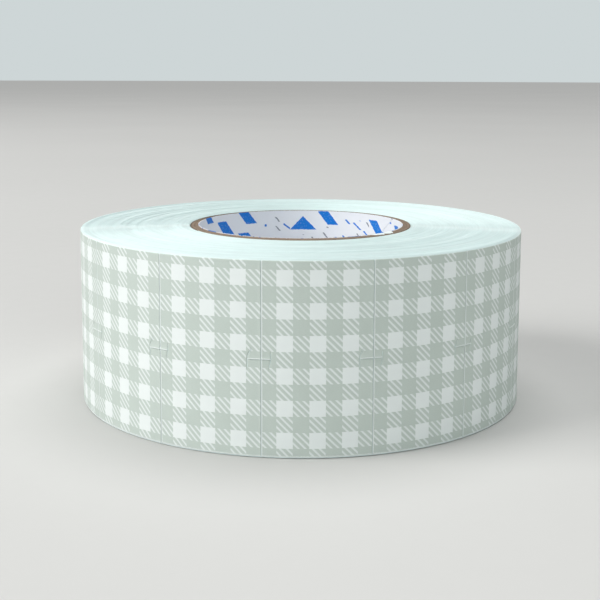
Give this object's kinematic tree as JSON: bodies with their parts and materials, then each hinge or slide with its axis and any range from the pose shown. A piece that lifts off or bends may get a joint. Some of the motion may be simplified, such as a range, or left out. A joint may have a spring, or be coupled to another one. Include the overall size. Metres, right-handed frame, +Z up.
{
  "type": "price label roll",
  "caption": "Roll of self-adhesive gingham-printed price labels on a wound backing strip with a paperboard core, for a hand labeler.",
  "frame": {"origin": "on the axis of the core's bore, at the face that the roll rests on", "axes": "+Z up along the bore; -Y is the side shown with the middle label joint; the strip winds outward counter-clockwise seen from +Z, and its free end is at the back (+Y)"},
  "size_m": [0.0559, 0.0559, 0.0215],
  "materials": {
    "printed_label": "matte",
    "backing_paper": "satin",
    "core_board": "matte",
    "lining_paper": "satin"
  },
  "bodies": {
    "root": {"backing_strip": "backing_paper", "core_inner_board_ply": "core_board", "core_outer_board_ply": "core_board", "core_printed_lining": "lining_paper", "covered_labels_turns_02_05": "printed_label", "covered_labels_turns_06_09": "printed_label", "covered_labels_turns_10_13": "printed_label", "covered_labels_turns_14_17": "printed_label", "covered_labels_turns_18_21": "printed_label", "covered_labels_turns_22_25": "printed_label", "covered_labels_turns_26_29": "printed_label", "covered_labels_turns_30_33": "printed_label", "covered_labels_turns_34_37": "printed_label", "covered_labels_turns_38_41": "printed_label", "covered_labels_turns_42_45": "printed_label", "covered_labels_turns_46_49": "printed_label", "covered_labels_turns_50_53": "printed_label", "covered_labels_turns_54_57": "printed_label", "covered_labels_turns_58_61": "printed_label", "covered_labels_turns_62_65": "printed_label", "covered_labels_turns_66_69": "printed_label", "covered_labels_turns_70_73": "printed_label", "covered_labels_turns_74_77": "printed_label", "covered_labels_turns_78_81": "printed_label", "covered_labels_turns_82_85": "printed_label", "covered_labels_turns_86_89": "printed_label", "covered_labels_turns_90_92": "printed_label", "label_01": "printed_label", "label_02": "printed_label", "label_03": "printed_label", "label_04": "printed_label", "label_05": "printed_label", "label_06": "printed_label", "label_07": "printed_label", "label_08": "printed_label", "label_09": "printed_label", "label_10": "printed_label", "label_11": "printed_label", "label_12": "printed_label", "label_13": "printed_label", "label_14": "printed_label", "label_15": "printed_label"}
  },
  "joints": []
}
